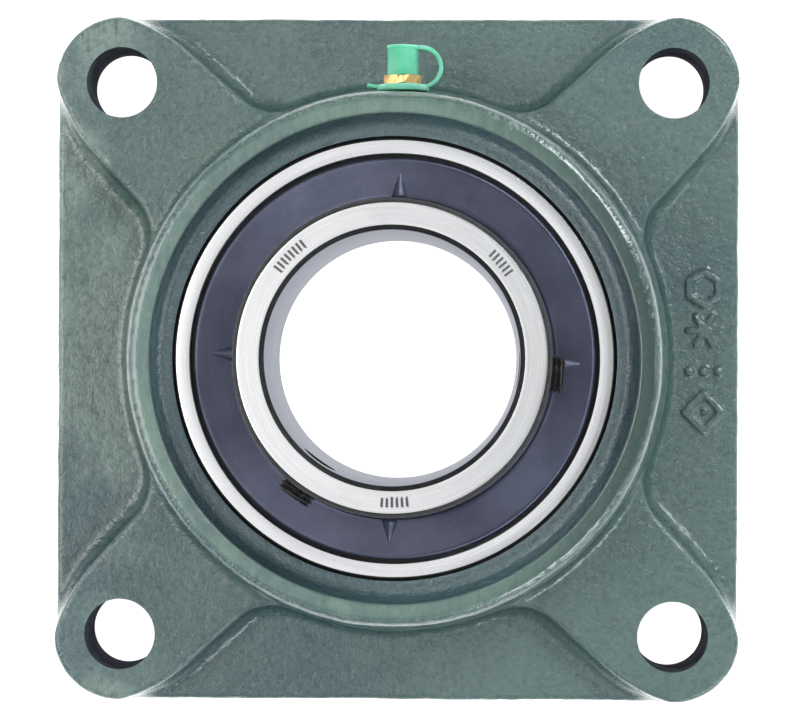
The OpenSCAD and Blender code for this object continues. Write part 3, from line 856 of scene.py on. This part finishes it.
def build_inner_ring():
    centre = PITCH_R - PLAY - BALL_R + GROOVE_R
    reach = math.degrees(math.acos((centre - INNER_R) / GROOVE_R))
    race = arc(centre, 0, GROOVE_R, 180 + reach, 180 - reach, 26)
    # Rings close enough together to carry the graduations
    face = [(r, INNER_FRONT, 0) for r in np.arange(34.4, 38.9, 0.3)]
    bore_edge, rim_edge = 1.2, 1.1
    profile = rounded([(BORE_R, -INNER_BACK + bore_edge, 0.2), (BORE_R + bore_edge, -INNER_BACK, 0.15),
                       (INNER_R - rim_edge, -INNER_BACK, 0.25), (INNER_R, -INNER_BACK + rim_edge, 0.3)]
                      + race
                      + [(INNER_R, INNER_FRONT - rim_edge, 0.35), (INNER_R - rim_edge, INNER_FRONT, 0.35)]
                      + face[::-1]
                      + [(BORE_R + bore_edge, INNER_FRONT, 0.12), (BORE_R, INNER_FRONT - bore_edge, 0.2)])
    ring = plain_mesh("inner_race_ring", *lathe(profile, 720, BEARING_Z))
    tools = []
    for turn in SCREW_ANGLES:
        v, f = cylinder(SCREW_HOLE_R, 28, 46, 64)
        tools.append((outwards(v, SCREW_Z, turn), f))
    cut(ring, *tools)
    black = chamfer_faces(ring.data, (32, 34), (39, 41)) | screw_hole_faces(ring.data)
    which = np.where(black, 1, 2 * bore_faces(ring.data))
    dress(ring, [STEEL_INNER, SCALE, BORE_STEEL_SHADED], "inner_race", ("inner_ring",), 25,
          which)
    x, y, z = per_vertex(ring.data).T
    etch = etched(np.hypot(x, y), np.degrees(np.arctan2(y, x))) & (z > BEARING_Z + INNER_FRONT - 0.05)
    store(ring.data, "etch", etch)


# ------------------------------------------------------------------ slingers and seals

DARTS, DART_TURN, DART_TIP, DART_HALF_W = 4, -1.5, 49.0, 2.25


def slinger_angles():
    """Even steps round the disc, closer together at the darts."""
    steps = [np.arange(300) * 360 / 300]
    for k in range(DARTS):
        steps.append(k * 90 + DART_TURN + np.linspace(-3.6, 3.6, 41))
    return np.radians(np.unique(np.round(np.concatenate(steps) % 360, 4)))


def dart_height(r, angle):
    """Height of the pressed half cones over the disc."""
    off = (np.degrees(angle) - DART_TURN + 45) % 90 - 45
    side = r * np.sin(np.radians(off))
    share = np.clip((DART_TIP - r) / (DART_TIP - 41.2), 0, 1)
    width = DART_HALF_W * share
    ridge = np.clip(1 - np.abs(side) / np.maximum(width, 1e-3), 0, 1)
    return 1.9 * share * (0.35 * ridge + 0.65 * np.sqrt(np.clip(1 - (1 - ridge) ** 2, 0, 1)))


def build_slinger(name, node, flip):
    angles = slinger_angles()
    thick = 0.9
    collar = ((1.0, 16.6), (1.02, 15.4), (1.06, 14.7), (1.3, 14.1), (1.75, 13.7))
    collar = [(INNER_R + out, z) for out, z in collar]
    face = [(r, 13.6) for r in np.arange(42.9, 51.4, 0.35)]
    rim = [(51.8, 13.58), (52.3, 13.44), (52.6, 13.15), (52.78, 12.7), (52.8, 12.2), (52.8, 11.2)]
    under = [(r, z - thick) for r, z in face]
    lower = [(51.9, 11.2), (51.9, 12.3), (51.6, 12.7)] + under[::-1]
    lower += [(INNER_R + 0.02, z) for z in (12.7, 16.6)]
    sign = -1 if flip else 1
    rings = []
    for r, z in collar + face + rim + lower:
        lift = dart_height(r, angles) if INNER_R + 0.5 < r < 51 and z > 12.5 else 0 * angles
        if z < 13.4:
            lift = lift * 0.9
        rings.append(disc(r, angles, BEARING_Z + sign * (z + lift)))
    shape = ring_grid(rings if flip else rings[::-1], closed_loop=True)
    add_piece(name, shape, BLUED, "inner_race", (node,), 30)


def build_seals():
    """Steel plates edged with rubber, fixed in the outer ring, their lips just clear of the inner ring."""
    plate_in, plate_out, low, high = 44.0, 53.2, 9.9, 10.5
    core = rounded([(plate_in, low), (plate_out, low), (plate_out, high), (plate_in, high)], 0.1, 2)
    rubber = rounded([(plate_in, low, 0), (plate_in, high, 0), (plate_out, high, 0), (plate_out, low, 0),
                      (54.2, low, 0.3), (54.2, 10.9, 0.3), (43.0, 10.9, 0.2), (42.0, 10.7, 0.2),
                      (INNER_R + 0.06, 10.85, 0.08), (INNER_R + 0.06, 10.4, 0.08), (42.4, 10.1, 0.2)], 0.1, 2)
    for side, flip in (("front", False), ("rear", True)):
        add_piece(side + "_seal_plate", lathe(core, 240, BEARING_Z, flip), SEAL_STEEL, "outer_race",
                  (side + "_seal_core",))
        add_piece(side + "_seal_lip", lathe(rubber, 300, BEARING_Z, flip), RUBBER, "outer_race",
                  (side + "_seal_rubber",))


# ------------------------------------------------------------------ balls and cage

def on_pitch_circle(points, position):
    """Points moved onto the ball circle. Balls sit at the whole positions, rivets halfway between."""
    a = TAU * position / BALL_COUNT
    return points + (PITCH_R * math.cos(a), PITCH_R * math.sin(a), BEARING_Z)


def build_balls():
    for i in range(BALL_COUNT):
        v, f = ball(BALL_R, 41, 72)
        name = f"ball_{i + 1:02d}"
        add_piece("rolling_" + name, (on_pitch_circle(v, i), f), BALL_STEEL, name, (name,), 60)


def build_cage():
    """Two pressed ribbons that cup the balls and meet between them, and the rivets that join them."""
    inside_r, outside_r, flat_half = 8.62, 9.4, 0.9
    radii = np.linspace(PITCH_R - 2.6, PITCH_R + 2.6, 13)
    angles = turn_angles(720)
    step = TAU / BALL_COUNT
    off = (angles + step / 2) % step - step / 2
    for side, sign in (("front", 1), ("rear", -1)):
        outer, inner = [], []
        for r in radii:
            dist2 = r * r + PITCH_R ** 2 - 2 * r * PITCH_R * np.cos(off)
            far = np.sqrt(np.clip(outside_r ** 2 - dist2, 0, None))
            near = np.sqrt(np.clip(inside_r ** 2 - dist2, 0, None))
            outer.append(disc(r, angles, BEARING_Z + sign * smooth_max(far, flat_half + 0 * far, 0.6)))
            inner.append(disc(r, angles, BEARING_Z + sign * np.maximum(near, 0.03)))
        rings = outer + inner[::-1]
        shape = ring_grid(rings if sign < 0 else rings[::-1], closed_loop=True)
        add_piece(side + "_cage_ribbon", shape, CAGE_STEEL, "cage", ("cage_" + side,), 40)
    head = [(0.9, -0.9), (0.9, 0.92), (1.7, 0.95), (1.6, 1.2), (1.2, 1.42), (0.5, 1.52)]
    profile = [(r, -z) for r, z in head[:0:-1]] + head
    v, f = ring_grid(lathe_rings(profile, turn_angles(24)))
    rivets = join_parts([(on_pitch_circle(v, i + 0.5), f) for i in range(BALL_COUNT)])
    add_piece("cage_rivet_set", rivets, RIVET_STEEL, "cage", ("cage_rivets",), 40)


# ------------------------------------------------------------------ set screws

def hexagon(angles, flats, turn=0.0):
    """Radius of a hexagon at each angle."""
    a = (angles + turn) % (TAU / 6) - TAU / 12
    return flats / 2 / np.cos(a)


def build_screws():
    """Socket set screws with a cup point, each with a real thread."""
    pitch, root, crest, length = 1.25, 4.18, 4.9, 10.0
    angles = turn_angles(72)
    for letter, turn in zip("ab", SCREW_ANGLES):
        rings = [disc(0.3, angles, 0.85), disc(2.0, angles, 0.0), disc(2.7, angles, 0.0)]
        for s in np.arange(0.0, length + 1e-6, pitch / 14):
            phase = (s / pitch - angles / TAU) % 1
            rise = np.clip(np.abs(phase - 0.5) * 2, 0, 1)
            thread = root + (crest - root) * np.clip((rise - 0.12) / 0.72, 0, 1)
            taper = min(2.75 + s * 1.25, crest, root + (length - s) * 1.2)
            rings.append(disc(np.minimum(thread, taper), angles, s))
        socket = hexagon(angles, 5.0)
        rings += [disc(3.35, angles, length), disc(np.maximum(socket, 2.8) + 0.12, angles, length)]
        for share, deep in ((1, 0.35), (1, 4.5), (0.5, 5.0)):
            rings.append(disc(socket * share, angles, length - deep))
        rings.append(disc(0.2, angles, length - 5.2))
        v, f = ring_grid(rings)
        shape = (outwards(v + (0, 0, 34.0), SCREW_Z, turn), f)
        add_piece("socket_screw_" + letter, shape, SCREW_STEEL, "screw_" + letter,
                  ("set_screw_" + letter,), 28)


# ------------------------------------------------------------------ grease nipple and cap

# Heights along the nipple: the ball and the stop above its spring
NIPPLE_TOP = HEX_TOP + 6.6
CHECK_BALL_R = 1.3
CHECK_BALL_Y = NIPPLE_TOP - 0.5 - CHECK_BALL_R - 0.05


def build_nipple():
    """Threaded stem, hexagon and grooved head, with a bore that holds the check ball and its spring."""
    angles = turn_angles(72)
    stem_y, corner_r = SEAT_Y - 7.5, 5.68
    corners = hexagon(angles, 10.0, math.radians(30))
    rings = [disc(0.9, angles, stem_y), disc(3.9, angles, stem_y)]
    for s in np.arange(0.4, 9.0, 0.1):
        phase = (s / 1.0 - angles / TAU) % 1
        thread = 4.35 + 0.42 * np.abs(phase - 0.5) * 2
        rings.append(disc(np.minimum(thread, 4.0 + s), angles, stem_y + s))
    rings.append(disc(4.7, angles, HEX_BASE - 0.02))
    sides = ((5.2, HEX_BASE), (corner_r, HEX_BASE + 0.25), (corner_r, HEX_TOP - 0.3), (5.1, HEX_TOP))
    rings += [disc(np.minimum(corners, r), angles, y) for r, y in sides]
    head = ((3.2, 0.02), (3.1, 0.2), (3.1, 0.8), (2.75, 1.3), (2.4, 1.8), (2.35, 2.3), (2.4, 2.8), (2.9, 3.4),
            (3.22, 3.9), (3.25, 4.4), (3.2, 4.9), (2.6, 5.8), (2.1, 6.4), (1.85, 6.6))
    inside = ((0.95, 6.6), (0.9, 6.5), (0.9, 6.1), (1.4, 6.08), (1.4, -2.4), (0.9, -2.42))
    rings += [disc(r, angles, HEX_TOP + s) for r, s in head + inside]
    v, f = ring_grid(rings, closed_loop=True)
    add_piece("lubrication_nipple", (along_y(v), f), BRASS, "housing", ("grease_nipple",), 32)

    v, f = ball(CHECK_BALL_R, 19, 36)
    add_piece("nipple_check_ball", (along_y(v + (0, 0, CHECK_BALL_Y)), f), BALL_STEEL, "check_ball",
              ("check_ball",), 60)


def build_check_spring():
    """A coil spring below the check ball, inside the nipple's bore."""
    low, high, wire, coil = NIPPLE_TOP - 0.5 - 8.5 + 0.2, CHECK_BALL_Y - 0.97, 0.18, 1.14
    turns, steps = 5, 36
    round_wire = turn_angles(10)[:, None]
    tube = []
    for i in range(turns * steps + 1):
        a = TAU * i / steps
        out = np.array([math.cos(a), math.sin(a), 0])
        centre = coil * out + (0, 0, low + (high - low) * i / (turns * steps))
        tube.append(centre + wire * (np.cos(round_wire) * out + np.sin(round_wire) * (0, 0, 1)))
    v, f = ring_grid(tube)
    spring = add_piece("nipple_check_spring", (along_y(v), f), SPRING_STEEL, None, ("check_spring",),
                       60)
    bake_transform(spring)


STRAP_W = 3.6


def ribbon(path, thick):
    """A flat moulded strap with rounded edges, along a path in the x-y plane of the port."""
    path = np.asarray(path, float)
    tangent = np.gradient(path, axis=0)
    tangent /= np.linalg.norm(tangent, axis=1)[:, None]
    normal = np.stack([-tangent[:, 1], tangent[:, 0]], 1)
    t, w = thick / 2, STRAP_W / 2
    out, side = rounded([(-t, -w), (t, -w), (t, w), (-t, w)], thick * 0.35, 4).T
    return ring_grid([np.stack([x + nx * out, y + ny * out, NIPPLE_Z + side], 1)
                      for (x, y), (nx, ny) in zip(path, normal)])


def build_cap():
    """The dust cap, its strap, and the ring under the nipple's hexagon that holds the strap."""
    angles = turn_angles(72)
    rim, top = HEX_TOP + 0.1, CAP_TOP
    wall = rounded([(0.01, top, 0), (3.9, top, 0.25), (4.3, top - 0.12, 0.2), (4.35, top - 0.75, 0.2),
                    (4.07, top - 1.1, 0.2), (4.02, top - 4, 0.2), (4.1, rim + 0.5, 0.2), (4.1, rim, 0.25),
                    (3.45, rim, 0.2), (3.4, top - 1.2, 0.3), (0.01, top - 0.9, 0)], closed=False, radius=0.2)
    v, f = ring_grid(lathe_rings(wall, angles))
    add_piece("dust_cap", (along_y(v), f), PLASTIC, "cap", ("nipple_cap",), 40)

    loop_x, loop_y, loop_r = NIPPLE_X + 4.85, CAP_TOP - 5.8, 5.25
    path = [(NIPPLE_X + 3.9, CAP_TOP - 0.55), (NIPPLE_X + 4.4, CAP_TOP - 0.54)]
    path += [p[:2] for p in arc(loop_x, loop_y, loop_r, 88, -80, 43)]
    strap = add_piece("cap_tether", ribbon(path, 1.1), THIN_PLASTIC, None, ("cap_strap",), 40)
    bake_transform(strap)

    under_hex = HEX_BASE - 0.05
    ring = rounded([(5.0, SEAT_Y, 0.15), (6.9, SEAT_Y, 0.4), (7.0, SEAT_Y + 0.9, 0.3), (6.8, under_hex, 0.4),
                    (5.0, under_hex, 0.2)], 0.2)
    v, f = ring_grid(lathe_rings(ring[::-1], angles), closed_loop=True)
    tab = [(NIPPLE_X - x, HEX_BASE - 0.62 + y)
           for x, y in ((5.6, 0), (6.6, 0.03), (7.6, 0.12), (8.5, 0.3), (9.3, 0.52))]
    retainer = join_parts([(along_y(v), f), ribbon(tab, 1.0)])
    add_piece("cap_retainer", retainer, THIN_PLASTIC, "housing", ("cap_ring",), 40)


build_outer_ring()
build_inner_ring()
build_slinger("front_flinger", "front_slinger", False)
build_slinger("rear_flinger", "rear_slinger", True)
build_seals()
build_balls()
build_cage()
build_screws()
build_nipple()
build_check_spring()
build_cap()


# ------------------------------------------------------------------ floor and light

def add_floor():
    """A white floor just under the housing."""
    half, level = 4000, -0.4
    corners = [(-half, -half, level), (half, -half, level), (half, half, level), (-half, half, level)]
    floor = plain_mesh("floor", corners, [(0, 1, 2, 3)])
    n = Nodes("pale_floor")
    floor.data.materials.append(n.finish(color=(0.93, 0.93, 0.93), rough=0.7, emission=(1.0, 1.0, 1.0),
                                         glow=1.0))


def add_area(name, place, size, watts, color=(1, 1, 1), size_y=None):
    """A panel light that faces the bearing. Places and sizes are in metres."""
    data = bpy.data.lights.new(name, "AREA")
    data.energy, data.color, data.size = watts, color, size
    if size_y:
        data.shape, data.size_y = "RECTANGLE", size_y
    light = bpy.data.objects.new(name, data)
    bpy.context.scene.collection.objects.link(light)
    light.location = place
    light.rotation_mode = "QUATERNION"
    light.rotation_quaternion = (Vector((0, 0, BEARING_Z)) * MM - Vector(place)).to_track_quat("-Z", "Y")


def add_world():
    """Dim surroundings, a little brighter overhead."""
    bpy.context.scene.view_settings.view_transform = "Standard"
    world = bpy.data.worlds.new("studio")
    world.use_nodes = True
    bpy.context.scene.world = world
    tree = world.node_tree
    coords = tree.nodes.new("ShaderNodeTexCoord")
    split = tree.nodes.new("ShaderNodeSeparateXYZ")
    ramp = tree.nodes.new("ShaderNodeValToRGB")
    tree.links.new(coords.outputs["Generated"], split.inputs[0])
    tree.links.new(split.outputs[2], ramp.inputs[0])
    stops = ((0.0, (0.05, 0.052, 0.058, 1)), (0.95, (0.34, 0.35, 0.37, 1)))
    for element, (place, color) in zip(ramp.color_ramp.elements, stops):
        element.position, element.color = place, color
    tree.links.new(ramp.outputs[0], tree.nodes["Background"].inputs["Color"])
    tree.nodes["Background"].inputs["Strength"].default_value = 1.0


add_floor()
add_world()
add_area("overhead", (-0.40, 0.0, 1.5), 1.6, 3.5, size_y=1.0)
add_area("right", (0.80, 0.76, 0.95), 0.6, 12.0, (0.95, 0.985, 1.0), size_y=0.26)
add_area("left", (-0.95, 0.05, 0.95), 0.9, 9.5, (1.0, 1.0, 0.97))
add_area("near_right", (0.65, -0.80, 0.85), 0.6, 6.5, (0.90, 0.95, 1.0), size_y=0.24)
